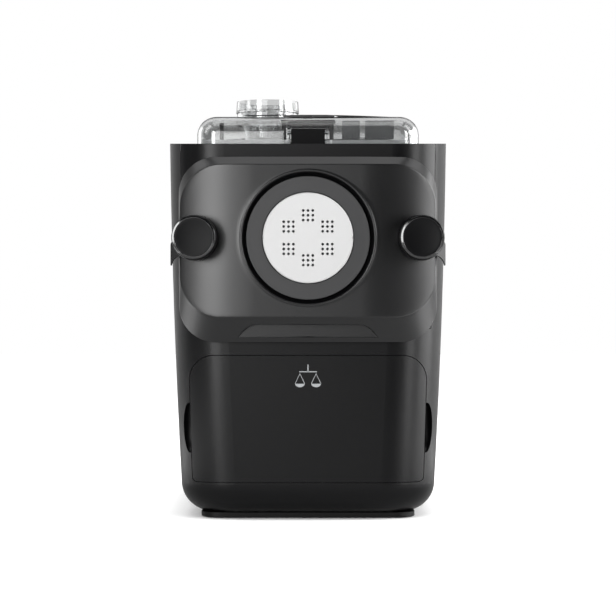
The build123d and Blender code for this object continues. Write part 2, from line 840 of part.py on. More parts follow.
def make_drawer_box():
    room = body_solid(drawer_panel + 0.2, rim_z + 1.0)
    outer = span_box((-box_half_width, box_half_width), (-170, box_rear_y), (box_low_z, box_top_z)) & room
    inner_room = body_solid(drawer_panel + 0.2 + box_wall, rim_z + 1.0)
    half = box_half_width - box_wall
    inner = span_box((-half, half), (-170, box_rear_y - box_wall), (box_low_z + box_wall, box_top_z + 1))
    return outer - (inner & inner_room)


def make_drawer_rails():
    rails = []
    for x in (69.5, -69.5):
        rails.append(span_box((x - 2.5, x + 2.5), (-108, 46), (base_top_z + 0.1, box_low_z - part_gap)))
    return rails


# Lid group

def lid_solid(inset, low_z):
    box = span_box((-lid_half_width + inset, lid_half_width - inset),
                   (lid_front_y + inset, lid_rear_y - inset), (low_z, lid_top_z - inset))
    box = fillet(box.edges().filter_by(Axis.Z), lid_corner - inset)
    return fillet(box.edges().group_by(Axis.Z)[-1], lid_round - inset)


def lid_relief():
    # rear edge slopes up, so that it clears the chamber rim as the lid opens
    low, rear = lid_low_z - 1, lid_rear_y + 1
    points = [(lid_relief_y, low), (rear, lid_relief_z), (rear, low)]
    return extrude(Plane.YZ * make_face(Polyline(*points, close=True)), amount=lid_half_width + 1, both=True)


def make_lid():
    outer = lid_solid(0.0, lid_low_z)
    lid = outer - lid_solid(wall, lid_low_z - 5) - lid_relief()
    lid -= span_box((-notch_half_width, notch_half_width), (-130, -108), (280, latch_top_z + 2.2))
    ribs = span_box((latch_half_width + 0.5, latch_half_width + 3.0), (-121.6, -114.0),
                    (latch_low_z + 0.8, latch_top_z + 5.8))
    for rib in both_sides(ribs & outer):
        lid += rib
    lid += span_box((-notch_half_width - 2.5, notch_half_width + 2.5), (-118.0, -112.0),
                    (latch_top_z + 2.2, latch_top_z + 6.3)) & outer
    lid -= cyl_x(latch_pin_radius, -18, 18, latch_pivot_y, latch_pivot_z)
    x0, x1 = knuckle_x
    knuckle = cyl_x(knuckle_radius, x0, x1, hinge_y, hinge_z)
    knuckle += span_box((x0, x1), (lid_rear_y - 8.0, hinge_y), (hinge_z - 3.5, hinge_z + 3.5))
    knuckle -= lid_solid(wall, lid_low_z - 5)
    for item in both_sides(knuckle):
        lid += item
    for bore in both_sides(cyl_x(hinge_pin_radius + running_fit, x0 - 1, x1 + 1, hinge_y, hinge_z)):
        lid -= bore
    lid -= cyl_z(cup_neck_radius + 1.2, 300, 330, cup_x, cup_y)
    return lid


def make_collar():
    inner = cup_neck_radius + 1.2
    ring = cyl_z(inner + collar_wall, lid_top_z, lid_top_z + collar_height, cup_x, cup_y)
    return ring - cyl_z(inner, lid_top_z - 1, lid_top_z + collar_height + 1, cup_x, cup_y)


def make_cup():
    x, y = cup_x, cup_y
    cup = cone_z(cup_radius + 0.6, cup_radius, cup_step_z, cup_top_z, x, y)
    cup += cone_z(cup_neck_radius - 2.5, cup_neck_radius, cup_floor_z, cup_step_z, x, y)
    hollow = cone_z(cup_radius + 0.6 - cup_wall, cup_radius - cup_wall, cup_step_z + cup_wall,
                    cup_top_z + 0.01, x, y)
    hollow += cone_z(cup_neck_radius - 2.5 - cup_wall, cup_neck_radius - cup_wall,
                     cup_floor_z + cup_wall, cup_step_z + cup_wall, x, y)
    return cup - hollow


def make_latch():
    half = latch_half_width
    latch = span_box((-half, half), (-122.0, -115.6), (latch_low_z, latch_top_z))
    latch = fillet(latch.edges().filter_by(Axis.X), 1.6)
    latch += span_box((-half + 1, half - 1), (-120.0, -117.5), (latch_low_z - 2.6, latch_low_z + 2))
    return latch - cyl_x(latch_pin_radius + running_fit, -20, 20, latch_pivot_y, latch_pivot_z)


def make_latch_pin():
    x = latch_half_width + 3.0
    return cyl_x(latch_pin_radius - 0.02, -x, x, latch_pivot_y, latch_pivot_z)


def make_hinge_pins():
    x0, x1 = knuckle_x[0] - 2, knuckle_x[1] + part_gap + hinge_lug_width
    return both_sides(cyl_x(hinge_pin_radius, x0, x1, hinge_y, hinge_z))


# Console

def console_solid(inset, low_z):
    box = span_box((-console_half_width + inset, console_half_width - inset),
                   (console_front_y + inset, console_rear_y - inset), (low_z, console_top_z - inset))
    box = fillet(box.edges().filter_by(Axis.Z), 12.0 - inset)
    return fillet(box.edges().group_by(Axis.Z)[-1], console_round - inset)


def make_console():
    shell = console_solid(0.0, deck_top_z) - console_solid(wall, deck_top_z - 5)
    for x in button_xs:
        shell -= cyl_z(button_radius + panel_gap, 300, 330, x, button_y)
    shell -= span_box((-34, 34), (78, 106), (console_top_z - 1.6, 330))
    shell -= span_box((-30, 30), (82, 102), (300, 330))
    x0 = knuckle_x[1] + part_gap
    lug = cyl_x(knuckle_radius, x0, x0 + hinge_lug_width, hinge_y, hinge_z)
    lug += span_box((x0, x0 + hinge_lug_width), (hinge_y, console_front_y + 3), (hinge_z - 4, hinge_z + 1.5))
    lug -= cyl_x(hinge_pin_radius + 0.02, x0 - 1, x0 + hinge_lug_width + 1, hinge_y, hinge_z)
    for item in both_sides(lug - console_solid(wall, 200)):
        shell += item
    return shell


def make_display_window():
    return span_box((-33.9, 33.9), (78.1, 105.9), (console_top_z - 1.5, console_top_z - 0.1))


def make_display_board():
    z = board_z
    board = span_box((-56, 56), (72, 148), (z, z + board_thickness))
    for x in (-50.0, 50.0):
        for y in (78.0, 142.0):
            board += cyl_z(3.0, deck_top_z, z + 1, x, y)
    board += span_box((-28, 28), (83, 101), (z + 1, z + 12.5))
    return board


def make_button_mat():
    z = board_z + board_thickness
    mat = span_box((-54, 54), (button_y - 12, button_y + 12), (z, z + mat_thickness))
    for x in button_xs:
        mat += cone_z(6.0, 3.5, z + 1.4, z + 5.0, x, button_y)
    return mat


def make_button(x):
    under = console_top_z - wall
    button = cyl_z(button_radius, under - 1, console_top_z + 1.4, x, button_y)
    button = fillet(button.edges().group_by(Axis.Z)[-1], 0.8)
    button += cyl_z(button_radius + 1.6, under - 1.8, under - part_gap, x, button_y)
    return button + cyl_z(2.5, board_z + button_stem_rise, under - 1, x, button_y)


def make_lid_switch():
    body = span_box((switch_x - 8, switch_x + 8), (switch_y - 3, switch_y + 3), (276, deck_low_z - part_gap))
    return body + cyl_z(1.2, deck_low_z - 1, deck_top_z, switch_x, switch_y)


def screw_parts(radius_gap):
    # one pan head screw pointing up, head underside at z = 0
    head = cyl_z(screw_head_radius + radius_gap, -screw_head_height, 0.0)
    return head + cyl_z(screw_shank_radius + radius_gap, 0.0, screw_length)


def base_screw_spots():
    xs = (-base_screw_x, base_screw_x)
    return [Pos(x, y, foot_height + 2.0) for x in xs for y in (-70.0, 16.0, 102.0)]


def cover_screw_spots():
    heights = (gearbox_low_z + 10, (gearbox_low_z + gearbox_top_z) / 2, gearbox_top_z - 10)
    return [Pos(x, cover_y[1], z) * Rot(90, 0, 0) for x in (-56.0, 56.0) for z in heights]


def make_screws():
    screw = screw_parts(0.0) - Pos(0, 0, -screw_head_height) * Box(4.4, 0.8, 1.2)
    return [spot * screw for spot in base_screw_spots() + cover_screw_spots()]


save("front_fascia", make_front_fascia())
save("body_shell", make_body_shell())
save("base_pan", make_base_pan())
save("rubber_feet", make_feet())
save("load_cells", make_load_cells())
save("case_screws", make_screws())
save("cord_gland", make_cord_gland())
save("top_deck", make_deck())
save("mixing_chamber", make_chamber())
save("chamber_gasket", make_chamber_gasket())
save("extrusion_tube", make_tube())
save("tube_seal", make_tube_seal())
save("shaft_seal", make_shaft_seal())
save("chamber_shelf", make_chamber_shelf())
save("bulkhead", make_bulkhead())
save("gearbox_case", make_gearbox_case())
save("gearbox_cover", make_gearbox_cover())
save("shaft_bearings", make_bearings())
save("middle_gear_pin", make_mid_pin())
save("output_gear", make_output_gear())
save("middle_gear", make_mid_gear())
save("motor_pinion", make_pinion())
save("motor_can", make_motor_can())
save("motor_rotor", make_rotor())
save("motor_fan", make_fan())
save("motor_cradle", make_motor_cradle())
save("power_board", make_power_board())
save("drive_shaft", make_drive_shaft())
save("mixing_paddle", make_paddle())
save("extrusion_screw", make_screw())
save("front_plate", make_front_plate())
save("plate_ring", make_plate_ring())
save("shaping_disc", make_shaping_disc())
save("locking_studs", make_studs())
for side_name, side_x in (("left", -knob_x), ("right", knob_x)):
    save(f"knob_grip_{side_name}", make_knob_grip(side_x))
    save(f"knob_insert_{side_name}", make_knob_insert(side_x))
    save(f"knob_clip_{side_name}", make_knob_clip(side_x))
    save(f"thrust_washer_{side_name}", make_thrust_washer(side_x))
save("drawer_front", make_drawer_front())
save("drawer_box", make_drawer_box())
save("drawer_rails", make_drawer_rails())
save("lid_shell", make_lid())
save("inlet_collar", make_collar())
save("pouring_cup", make_cup())
save("lid_latch", make_latch())
save("latch_pin", make_latch_pin())
save("hinge_pins", make_hinge_pins())
save("console_shell", make_console())
save("display_window", make_display_window())
save("display_board", make_display_board())
save("button_mat", make_button_mat())
for number, button_x in enumerate(button_xs):
    save(f"button_{number + 1}", make_button(button_x))
save("lid_switch", make_lid_switch())
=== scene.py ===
import json
import math

import bpy
import numpy as np
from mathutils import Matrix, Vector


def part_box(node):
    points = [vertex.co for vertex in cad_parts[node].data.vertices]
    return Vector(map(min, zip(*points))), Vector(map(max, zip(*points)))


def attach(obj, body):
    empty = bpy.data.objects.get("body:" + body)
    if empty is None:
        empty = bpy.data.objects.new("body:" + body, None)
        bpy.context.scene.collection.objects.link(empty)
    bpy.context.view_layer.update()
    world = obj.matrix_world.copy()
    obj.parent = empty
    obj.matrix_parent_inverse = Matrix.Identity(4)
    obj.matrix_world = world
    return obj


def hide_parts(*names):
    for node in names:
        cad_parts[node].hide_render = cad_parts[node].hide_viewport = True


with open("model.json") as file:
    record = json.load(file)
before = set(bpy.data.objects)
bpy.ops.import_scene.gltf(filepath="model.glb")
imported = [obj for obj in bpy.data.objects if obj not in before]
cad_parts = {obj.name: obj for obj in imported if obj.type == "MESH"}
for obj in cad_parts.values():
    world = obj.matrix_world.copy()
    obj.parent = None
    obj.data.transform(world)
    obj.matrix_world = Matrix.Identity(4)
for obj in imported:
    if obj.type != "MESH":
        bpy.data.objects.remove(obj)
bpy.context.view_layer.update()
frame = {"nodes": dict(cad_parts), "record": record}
nodes = frame["nodes"]
mm = 0.001
print("frame loaded:", len(nodes), "nodes")


def nodeBox(name):
    # lowest and highest corner of a node in millimetres
    low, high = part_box(name)
    return np.array(low) / mm, np.array(high) / mm


# Materials

def toLinear(hexColour):
    # sRGB hex to linear light
    parts = [int(hexColour[i:i + 2], 16) / 255 for i in (1, 3, 5)]
    linear = [c / 12.92 if c <= 0.04045 else ((c + 0.055) / 1.055) ** 2.4 for c in parts]
    return (*linear, 1.0)


def newMaterial(name):
    material = bpy.data.materials.new(name)
    material.use_nodes = True
    material.node_tree.nodes.clear()
    return material, material.node_tree


def addNode(tree, kind, settings=None, links=None):
    # settings: attributes by name or inputs by "in:NAME"; links: input name to an output socket
    node = tree.nodes.new(kind)
    for key, value in (settings or {}).items():
        if key.startswith("in:"):
            name = key[3:]
            node.inputs[int(name) if name.isdigit() else name].default_value = value
        else:
            setattr(node, key, value)
    for key, socket in (links or {}).items():
        tree.links.new(socket, node.inputs[int(key) if key.isdigit() else key])
    return node


def finishSurface(tree, shader):
    addNode(tree, "ShaderNodeOutputMaterial", links={"Surface": shader.outputs[0]})


def mouldedPlastic(name, colour, roughness, grain, depth, specular=0.5, spread=0.04, edge=0.4):
    # ABS from a spark-eroded mould: an even fine grain breaks up every highlight, and the mould
    # leaves a small radius on each edge, which catches the light as a thin line
    material, tree = newMaterial(name)
    place = addNode(tree, "ShaderNodeTexCoord")
    fine = addNode(tree, "ShaderNodeTexNoise", {"in:Scale": 1 / (grain * mm), "in:Detail": 2.0},
                   {"Vector": place.outputs["Object"]})
    broad = addNode(tree, "ShaderNodeTexNoise", {"in:Scale": 14.0, "in:Detail": 3.0},
                    {"Vector": place.outputs["Object"]})
    rough = addNode(tree, "ShaderNodeMapRange",
                    {"in:To Min": roughness - spread, "in:To Max": roughness + spread},
                    {"Value": broad.outputs["Fac"]})
    rounded = addNode(tree, "ShaderNodeBevel", {"samples": 4, "in:Radius": edge * mm})
    bump = addNode(tree, "ShaderNodeBump", {"in:Strength": depth, "in:Distance": 0.03 * mm},
                   {"Height": fine.outputs["Fac"], "Normal": rounded.outputs["Normal"]})
    shader = addNode(tree, "ShaderNodeBsdfPrincipled",
                     {"in:Base Color": toLinear(colour), "in:Specular IOR Level": specular},
                     {"Roughness": rough.outputs["Result"], "Normal": bump.outputs["Normal"]})
    finishSurface(tree, shader)
    return material


def clearPlastic(name, tint="#D7D8D8", roughness=0.03):
    # polycarbonate, injection moulded clear: bright walls with dark edges, and slight flow waves
    material, tree = newMaterial(name)
    place = addNode(tree, "ShaderNodeTexCoord")
    flow = addNode(tree, "ShaderNodeTexNoise", {"in:Scale": 45.0, "in:Detail": 1.0},
                   {"Vector": place.outputs["Object"]})
    bump = addNode(tree, "ShaderNodeBump", {"in:Strength": 0.05, "in:Distance": 0.3 * mm},
                   {"Height": flow.outputs["Fac"]})
    shader = addNode(tree, "ShaderNodeBsdfPrincipled",
                     {"in:Base Color": toLinear(tint), "in:Roughness": roughness,
                      "in:IOR": 1.585, "in:Transmission Weight": 1.0},
                     {"Normal": bump.outputs["Normal"]})
    finishSurface(tree, shader)
    return material


def metal(name, colour, roughness):
    # turned or pressed metal: fine tool marks streak the reflections
    material, tree = newMaterial(name)
    place = addNode(tree, "ShaderNodeTexCoord")
    marks = addNode(tree, "ShaderNodeTexNoise", {"in:Scale": 900.0, "in:Detail": 2.0},
                    {"Vector": place.outputs["Object"]})
    rough = addNode(tree, "ShaderNodeMapRange",
                    {"in:To Min": roughness - 0.06, "in:To Max": roughness + 0.06},
                    {"Value": marks.outputs["Fac"]})
    shader = addNode(tree, "ShaderNodeBsdfPrincipled",
                     {"in:Base Color": toLinear(colour), "in:Metallic": 1.0},
                     {"Roughness": rough.outputs["Result"]})
    finishSurface(tree, shader)
    return material


slots = {
    "satin_black_abs": mouldedPlastic("satinBlackMouldedAbs", "#060607", 0.31, 0.5, 0.25),
    "graphite_abs": mouldedPlastic("graphiteMouldedAbs", "#232324", 0.42, 0.6, 0.3),
    "ivory_pom": mouldedPlastic("whiteTurnedAcetal", "#A8A8A8", 0.4, 0.4, 0.15),
    "clear_polycarbonate": clearPlastic("clearMouldedPolycarbonate"),
    "grey_polypropylene": mouldedPlastic("greyMouldedPolypropylene", "#8E9092", 0.5, 0.6, 0.2),
    "white_acetal": mouldedPlastic("whiteMouldedAcetal", "#E4E4E1", 0.45, 0.6, 0.2),
    "silicone_rubber": mouldedPlastic("greyCastSilicone", "#4A4A4C", 0.6, 0.4, 0.2),
    "soft_rubber": mouldedPlastic("blackMouldedRubber", "#0E0E0E", 0.7, 0.4, 0.3),
    "turned_steel": metal("turnedSteel", "#A9ABAD", 0.3),
    "pressed_steel": metal("pressedSteel", "#9B9D9F", 0.4),
    "cast_aluminium": metal("castAluminium", "#B4B6B8", 0.5),
    "brass": metal("turnedBrass", "#B9975A", 0.3),
    "circuit_board": mouldedPlastic("greenLaminateBoard", "#1F5A3A", 0.4, 0.8, 0.2),
    "smoked_window": mouldedPlastic("smokedMouldedWindow", "#101114", 0.08, 0.8, 0.02),
    "black_gloss_abs": mouldedPlastic("glossBlackMouldedAbs", "#0C0C0D", 0.2, 0.8, 0.05),
}
# the outer panels reflect less than the plate, whose mould was polished
panelFinish = mouldedPlastic("satinBlackHousingAbs", "#050506", 0.31, 0.5, 0.25, 0.21)
ownFinish = {
    "front_fascia": panelFinish,
    "body_shell": panelFinish,
    "drawer_front": panelFinish,
    "base_pan": mouldedPlastic("mattBlackBaseAbs", "#060606", 0.5, 0.5, 0.25, 0.2),
    "console_shell": mouldedPlastic("mattBlackConsoleAbs", "#070708", 0.5, 0.5, 0.3, 0.25),
    "lid_latch": mouldedPlastic("mattBlackLatchAbs", "#050506", 0.5, 0.5, 0.25, 0.1),
    "pouring_cup": clearPlastic("clearMouldedCup", "#CACBCB"),
}
slotOf = {part["node"]: part["material_slot"] for part in frame["record"]["subparts"]}
for name, node in nodes.items():
    node.data.materials.clear()
    node.data.materials.append(ownFinish.get(name, slots[slotOf[name]]))
print("materials made:", len(slots))


# Shapes

def makePiece(name, points, faces, material, body, smooth=True):
    # points in millimetres; the sign of the enclosed volume tells whether the faces look outward
    points, faces = np.asarray(points, float), [list(face) for face in faces]
    centred = points - points.mean(0)
    fans = np.array([(face[0], face[k], face[k + 1])
                     for face in faces for k in range(1, len(face) - 1)])
    a, b, c = centred[fans[:, 0]], centred[fans[:, 1]], centred[fans[:, 2]]
    if (a * np.cross(b, c)).sum() < 0:
        faces = [face[::-1] for face in faces]
    mesh = bpy.data.meshes.new(name)
    mesh.from_pydata((points * mm).tolist(), [], faces)
    mesh.polygons.foreach_set("use_smooth", np.full(len(mesh.polygons), smooth))
    if smooth:
        mesh.set_sharp_from_angle(angle=math.radians(40))
    mesh.materials.append(material)
    piece = bpy.data.objects.new(name, mesh)
    bpy.context.scene.collection.objects.link(piece)
    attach(piece, body)
    return piece


def gridFaces(rows, columns, closeRows=False, closeColumns=False):
    # quads between neighbouring points of a grid, which may close on itself either way
    r = np.arange(rows if closeRows else rows - 1)
    c = np.arange(columns if closeColumns else columns - 1)
    r, c = np.meshgrid(r, c, indexing="ij")
    r2, c2 = (r + 1) % rows, (c + 1) % columns
    quads = np.stack([r * columns + c, r2 * columns + c, r2 * columns + c2, r * columns + c2], -1)
    return quads.reshape(-1, 4)


def outlinePoints(halfX, lowZ, topZ, radius, inset, arcSteps=20, sideSteps=40):
    # rounded rectangle seen from the front: four arcs, whose radius shrinks with the inset,
    # and evenly split straight stretches, so that rows of any inset match point for point
    corners = ((1, topZ - radius, 0), (-1, topZ - radius, 90),
               (-1, lowZ + radius, 180), (1, lowZ + radius, 270))
    xs, zs = [], []
    for side, cz, start in corners:
        a = np.radians(np.linspace(start, start + 90, arcSteps))
        xs.append(side * (halfX - radius) + (radius - inset) * np.cos(a))
        zs.append(cz + (radius - inset) * np.sin(a))
    t = np.arange(1, sideSteps) / sideSteps
    outX, outZ = [], []
    for k in range(4):
        nextX, nextZ = xs[(k + 1) % 4][0], zs[(k + 1) % 4][0]
        outX += [xs[k], xs[k][-1] + t * (nextX - xs[k][-1])]
        outZ += [zs[k], zs[k][-1] + t * (nextZ - zs[k][-1])]
    return np.concatenate(outX), np.concatenate(outZ)


def turned(name, profile, centre, material, body, steps=128, caps=False):
    # profile of (radius, y) points in millimetres, turned round the axis along Y; it closes on
    # itself, or flat caps close both its ends
    profile = np.array(profile, float)
    angles = np.arange(steps) * 2 * math.pi / steps
    x = centre[0] + profile[:, :1] * np.cos(angles)
    z = centre[1] + profile[:, :1] * np.sin(angles)
    y = np.repeat(profile[:, 1:], steps, axis=1)
    points = np.stack([x, y, z], -1).reshape(-1, 3)
    faces = gridFaces(len(profile), steps, closeRows=not caps, closeColumns=True).tolist()
    if caps:
        last = (len(profile) - 1) * steps
        faces += [list(range(steps)), list(range(last, last + steps))[::-1]]
    return makePiece(name, points, faces, material, body)


# Front plate

plateLow, plateHigh = (corner.round(1) for corner in nodeBox("front_plate"))
knobLow, knobHigh = (corner.round(1) for corner in nodeBox("knob_grip_right"))
knobX, knobZ = ((knobLow + knobHigh) / 2)[[0, 2]]
# all sizes in millimetres; bow and slope say how the housing narrows towards the floor
housing = {"frontY": -148.0, "corner": 45.0, "rimZ": 301.7, "rimHalf": 111.85, "slope": 0.01414,
           "bow": 7.3376e-5, "gap": 0.4}
plate = {
    # outline and bend of the whole plate
    "frontY": plateLow[1], "lowZ": plateLow[2], "highZ": plateHigh[2], "halfWidth": 102.4,
    "corner": 29.0, "flatHalf": 42.0, "bendRadius": 140.0, "arcSteps": 28, "sideSteps": 60,
    # raised pad: its rounded edge as (inset, fall) pairs, and the crease round it
    "padHalf": 101.2, "padLow": 160.4, "padHigh": 281.6, "padCorner": 33.0, "padInset": 1.4,
    "padRows": 16, "padRound": ((0.9, 0.04), (0.5, 0.14), (0.2, 0.3)), "crease": 0.5,
    # sloping band: how far it falls for each width, and the small round at the rim
    "bandWidths": (1.2, 5.6, 19.0), "bandDrops": (2.2, 4.6, 10.0), "bandRows": 13, "rimRound": 0.5,
    # round recess: groove as (radius, y) pairs, lip as (radius, rise) pairs
    "holeRadius": 36.7, "floorY": -158.0, "lipEnd": 54.4,
    "groove": ((48.4, -158.0), (48.5, -160.0), (49.2, -160.4), (50.2, -161.2), (50.9, -162.3),
               (51.4, -163.3)),
    "lip": ((51.6, 1.0), (51.7, 0.4), (52.0, -0.1), (52.4, -0.38), (52.9, -0.48), (53.4, -0.38),
            (53.9, -0.14)),
    # back of the skin
    "wall": 2.5, "backFall": 1.5, "backRadius": 55.4, "backStep": 0.5, "backInset": 3.0,
    # grip slot: where it sits in the band, its outline, and its wall and foot as (inset, depth)
    "slotSkip": 5, "slotLowZ": 145.2, "slotTopZ": 155.6, "slotLowHalf": 55.5, "slotTopHalf": 46.5,
    "slotRound": 8.0, "slotBlend": (0.4, 0.75, 1.0), "slotWall": ((0.12, 0.1), (0.3, 0.4)),
    "slotFloorY": -156.0, "slotFoot": ((0.5, -0.2), (0.7, 0.0), (1.0, 0.0)),
    # collar round the dark ring
    "ringGrow": 1.5, "ringLap": 3.0, "ringLand": 0.8, "ringSink": 0.02, "ringRise": 0.03,
    "ringRound": 0.3, "ringDepth": 2.0,
}
fittings = {
    "cupDepths": (-155.0, -150.2), "cupGrow": (1.03, 1.3),
    "bossRows": ((7.3, -161.8), (12.7, -161.8), (13.1, -161.6), (13.2, -161.2), (13.2, -148.6),
                 (7.3, -148.6)),
    "earDepths": (-158.0, -141.0), "earSlope": 0.5, "earOuter": (108.6, 202.0),
    "earInner": (95.0, 222.0), "crownCentre": (104.6, 218.0), "crownRadius": 4.0,
    "archCentre": (99.2, 201.3), "archRadius": 8.7, "archAngles": (118.9, 4.6),
}


def housingFront(x, z):
    # y of the housing behind the plate: flat, with a quarter round at both sides
    drop = housing["rimZ"] - z
    half = housing["rimHalf"] - housing["slope"] * drop - housing["bow"] * drop ** 2
    over = np.maximum(np.abs(x) - (half - housing["corner"]), 0)
    return housing["frontY"] + housing["corner"] - np.sqrt(housing["corner"] ** 2 - over ** 2)


def plateBend(x):
    # y of the plate's face: flat in the middle, beyond it an arc of the bend radius
    over = np.maximum(np.abs(x) - plate["flatHalf"], 0)
    return plate["frontY"] + plate["bendRadius"] - np.sqrt(plate["bendRadius"] ** 2 - over ** 2)


def plateOutline(kind, inset):
    # pad: outline of the raised middle; rim: outline of the whole plate
    if kind == "pad":
        size = (plate["padHalf"], plate["padLow"], plate["padHigh"], plate["padCorner"])
    else:
        size = (plate["halfWidth"], plate["lowZ"], plate["highZ"], plate["corner"])
    return outlinePoints(*size, inset, plate["arcSteps"], plate["sideSteps"])


def bandRow(s):
    # row of the sloping band round the pad: s runs from 0 at the pad to 1 at the rim, and the
    # fall there grows with the band's width, which is least at the sides and most at the chin
    padX, padZ = plateOutline("pad", 0.0)
    rimX, rimZ = plateOutline("rim", 0.0)
    x, z = padX + s * (rimX - padX), padZ + s * (rimZ - padZ)
    width = np.hypot(rimX - padX, rimZ - padZ)
    drop = np.interp(width, plate["bandWidths"], plate["bandDrops"])
    return np.stack([x, plateBend(x) + plate["crease"] + s * (drop - plate["crease"]), z], -1)


def makePlateShell():
    # one closed skin: groove floor, rolled lip, pad, crease, band, side, and the same back inside
    padX, padZ = plateOutline("pad", 0.0)
    angle = np.arctan2(padZ - knobZ, padX)

    def ring(radius, rise=0.0, level=None):
        x, z = radius * np.cos(angle), knobZ + radius * np.sin(angle)
        y = plateBend(x) + rise if level is None else np.full(len(x), level)
        return np.stack([x, y, z], -1)

    def outline(kind, inset, rise):
        x, z = plateOutline(kind, inset)
        return np.stack([x, plateBend(x) + rise, z], -1)

    rows = [ring(plate["holeRadius"], level=plate["floorY"])]
    rows += [ring(radius, level=level) for radius, level in plate["groove"]]
    rows += [ring(radius, rise) for radius, rise in plate["lip"]]
    inner, edge = ring(plate["lipEnd"]), outline("pad", plate["padInset"], 0.0)
    for t in np.linspace(0, 1, plate["padRows"]):
        row = inner + t * (edge - inner)
        row[:, 1] = plateBend(row[:, 0])
        rows.append(row)
    rows += [outline("pad", inset, rise) for inset, rise in plate["padRound"]]
    first = len(rows)
    band = [bandRow(s) for s in np.linspace(0, 1, plate["bandRows"])]
    rows += band
    # side of the plate down to the housing, then the back of the same wall
    def sideEnd(inset):
        x, z = plateOutline("rim", inset)
        return np.stack([x, housingFront(x, z) - housing["gap"], z], -1)

    end, back = sideEnd(0.0), sideEnd(plate["wall"])
    rolled = band[-1] + np.array([0, plate["rimRound"], 0])
    rows += [rolled + t * (end - rolled) for t in (0.0, 0.5, 1.0)]
    inside = back.copy()
    inside[:, 1] = np.minimum(band[-1][:, 1] + plate["backFall"], back[:, 1] - 0.01)
    rows += [back, inside]
    # behind the chin the skin stays clear of the slot and steps forward only behind the pad
    x, z = plateOutline("pad", plate["backStep"])
    rows += [np.stack([x, inside[:, 1], z], -1)]
    rows += [outline("pad", plate["backInset"], plate["wall"]),
             ring(plate["backRadius"], plate["wall"])]
    rows += [ring(radius, level=plate["floorY"] + plate["wall"])
             for radius in (plate["backRadius"], plate["holeRadius"])]
    grid = np.stack(rows)
    count = grid.shape[1]
    faces = gridFaces(*grid.shape[:2], closeRows=True, closeColumns=True)

    # the slot's patch takes the place of a block of the chin's quads
    corner = 2 * (plate["arcSteps"] + plate["sideSteps"] - 1) + plate["arcSteps"] - 1
    c0, c1 = corner + plate["slotSkip"], corner + plate["sideSteps"] - plate["slotSkip"]
    r0, r1 = first + 1, first + plate["bandRows"] - 2
    row, column = faces[:, 0] // count, faces[:, 0] % count
    kept = faces[~((row >= r0) & (row < r1) & (column >= c0) & (column < c1))]
    c, r = np.arange(c0, c1 + 1), np.arange(r0, r1 + 1)
    loop = np.concatenate([r1 * count + c, r[::-1][1:] * count + c1,
                           r0 * count + c[::-1][1:], r[1:-1] * count + c0])
    points = grid.reshape(-1, 3)
    slot = slotOutline(len(c), len(r))
    rings = []
    for t in plate["slotBlend"]:
        row = points[loop] + t * (slot - points[loop])
        s = (plate["padLow"] - row[:, 2]) / (plate["padLow"] - plate["lowZ"])
        fall = s * (plate["bandDrops"][2] - plate["crease"])
        row[:, 1] = plateBend(row[:, 0]) + plate["crease"] + fall
        rings.append(row)
    # inward steps of the slot's wall point away from its middle, the side ones almost level
    mouth = rings[-1]
    away = slot - np.array([0.0, 0.0, (plate["slotLowZ"] + plate["slotTopZ"]) / 2])
    away[:, 1] = 0
    away /= np.linalg.norm(away, axis=1)[:, None]
    away[:, 0] = np.clip(away[:, 0] * 4, -1, 1)
    for inset, rise in plate["slotWall"]:
        row = mouth - away * inset
        row[:, 1] = mouth[:, 1] + rise
        rings.append(row)
    for inset, level in plate["slotFoot"]:
        row = mouth - away * inset
        row[:, 1] = plate["slotFloorY"] + level
        rings.append(row)
    patch = np.stack(rings)
    n, base = patch.shape[1], len(points)
    patchFaces = gridFaces(*patch.shape[:2], closeColumns=True)[:, ::-1] + base
    turn = np.arange(n)
    joint = np.stack([loop[turn], loop[(turn + 1) % n], base + (turn + 1) % n, base + turn], -1)
    last = base + (len(rings) - 1) * n + turn
    allFaces = kept.tolist() + joint.tolist() + patchFaces.tolist() + [last.tolist()]
    allPoints = np.concatenate([points, patch.reshape(-1, 3)])
    shell = makePiece("plateShell", allPoints, allFaces, slots["satin_black_abs"], "front_plate")
    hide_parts("front_plate")


def slotOutline(across, up):
    # trapezoid with rounded upper corners, as many points a side as the block it is set in
    low, top = plate["slotLowZ"], plate["slotTopZ"]
    start, tip = np.array([plate["slotLowHalf"], low]), np.array([plate["slotTopHalf"], top])
    lean = (tip - start) / np.linalg.norm(tip - start)
    a, b = tip - lean * plate["slotRound"], tip - np.array([plate["slotRound"], 0.0])
    t = np.linspace(0, 1, 24)[:, None]
    curve = (1 - t) ** 2 * a + 2 * t * (1 - t) * tip + t ** 2 * b
    path = np.concatenate([start[None], curve])
    length = np.concatenate([[0], np.cumsum(np.linalg.norm(np.diff(path, axis=0), axis=1))])
    at = np.linspace(0, length[-1], up)
    right = np.stack([np.interp(at, length, path[:, k]) for k in (0, 1)], -1)
    lowX = np.linspace(-plate["slotLowHalf"], plate["slotLowHalf"], across)
    topX = np.linspace(right[-1, 0], -right[-1, 0], across)
    bottom = np.stack([lowX, np.full(across, low)], -1)
    upper = np.stack([topX, np.full(across, top)], -1)
    left = right[::-1] * [-1, 1]
    flat = np.concatenate([bottom, right[1:], upper[1:], left[1:-1]])
    return np.stack([flat[:, 0], np.zeros(len(flat)), flat[:, 1]], -1)


